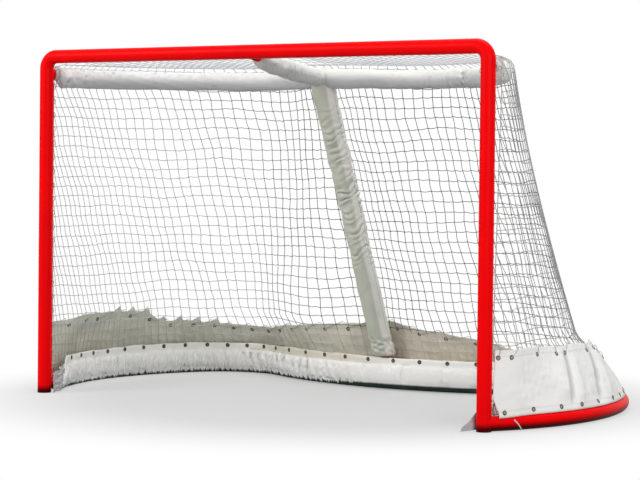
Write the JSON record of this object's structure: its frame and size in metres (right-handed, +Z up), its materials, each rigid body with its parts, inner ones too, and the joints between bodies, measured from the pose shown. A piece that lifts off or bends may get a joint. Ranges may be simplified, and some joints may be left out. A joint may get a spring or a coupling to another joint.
{
  "type": "ice hockey goal",
  "caption": "Ice hockey goal: welded tube frame with a draped knotted net, padded top tubes and centre post, a low foam pad round the base and an eyeletted canvas skirt.",
  "frame": {"origin": "on the floor, in the middle of the goal's width and of its whole depth", "axes": "+Z up, +X to the right as seen from the mouth's side, the mouth faces -Y"},
  "size_m": [2.251, 1.1767, 1.27],
  "materials": {
    "red_paint": "gloss",
    "pad_vinyl": "satin",
    "base_pad_vinyl": "satin",
    "flap_vinyl": "matte",
    "net_twine": "matte",
    "skirt_canvas": "matte",
    "eyelet_metal": "satin",
    "tie_cord": "matte"
  },
  "bodies": {
    "root": {"post_left": "red_paint", "post_right": "red_paint", "corner_left": "red_paint", "corner_right": "red_paint", "crossbar": "red_paint", "base_tube_side_left": "red_paint", "base_tube_side_right": "red_paint", "base_tube_lobe_left": "red_paint", "base_tube_lobe_right": "red_paint", "base_tube_rear": "red_paint", "top_tube_side_left": "red_paint", "top_tube_side_right": "red_paint", "top_tube_lobe_left": "red_paint", "top_tube_lobe_right": "red_paint", "top_tube_rear": "red_paint", "centre_strut": "red_paint", "centre_post": "red_paint", "lacing_rod_left": "red_paint", "lacing_rod_right": "red_paint", "lacing_rod_crossbar": "red_paint", "top_pad_left": "pad_vinyl", "top_pad_right": "pad_vinyl", "strut_pad": "pad_vinyl", "centre_post_pad": "pad_vinyl", "base_pad_side_left": "base_pad_vinyl", "base_pad_side_right": "base_pad_vinyl", "base_pad_lobe_left": "base_pad_vinyl", "base_pad_lobe_right": "base_pad_vinyl", "base_pad_rear": "base_pad_vinyl", "base_pad_flap_left": "flap_vinyl", "base_pad_flap_right": "flap_vinyl", "net_left": "net_twine", "net_right": "net_twine", "net_rear": "net_twine", "net_top": "net_twine", "skirt_left": "skirt_canvas", "skirt_right": "skirt_canvas", "skirt_rear": "skirt_canvas", "skirt_eyelets_top": "eyelet_metal", "skirt_eyelets_hem": "eyelet_metal", "base_pad_eyelets": "eyelet_metal", "corner_tie": "tie_cord"}
  },
  "joints": []
}
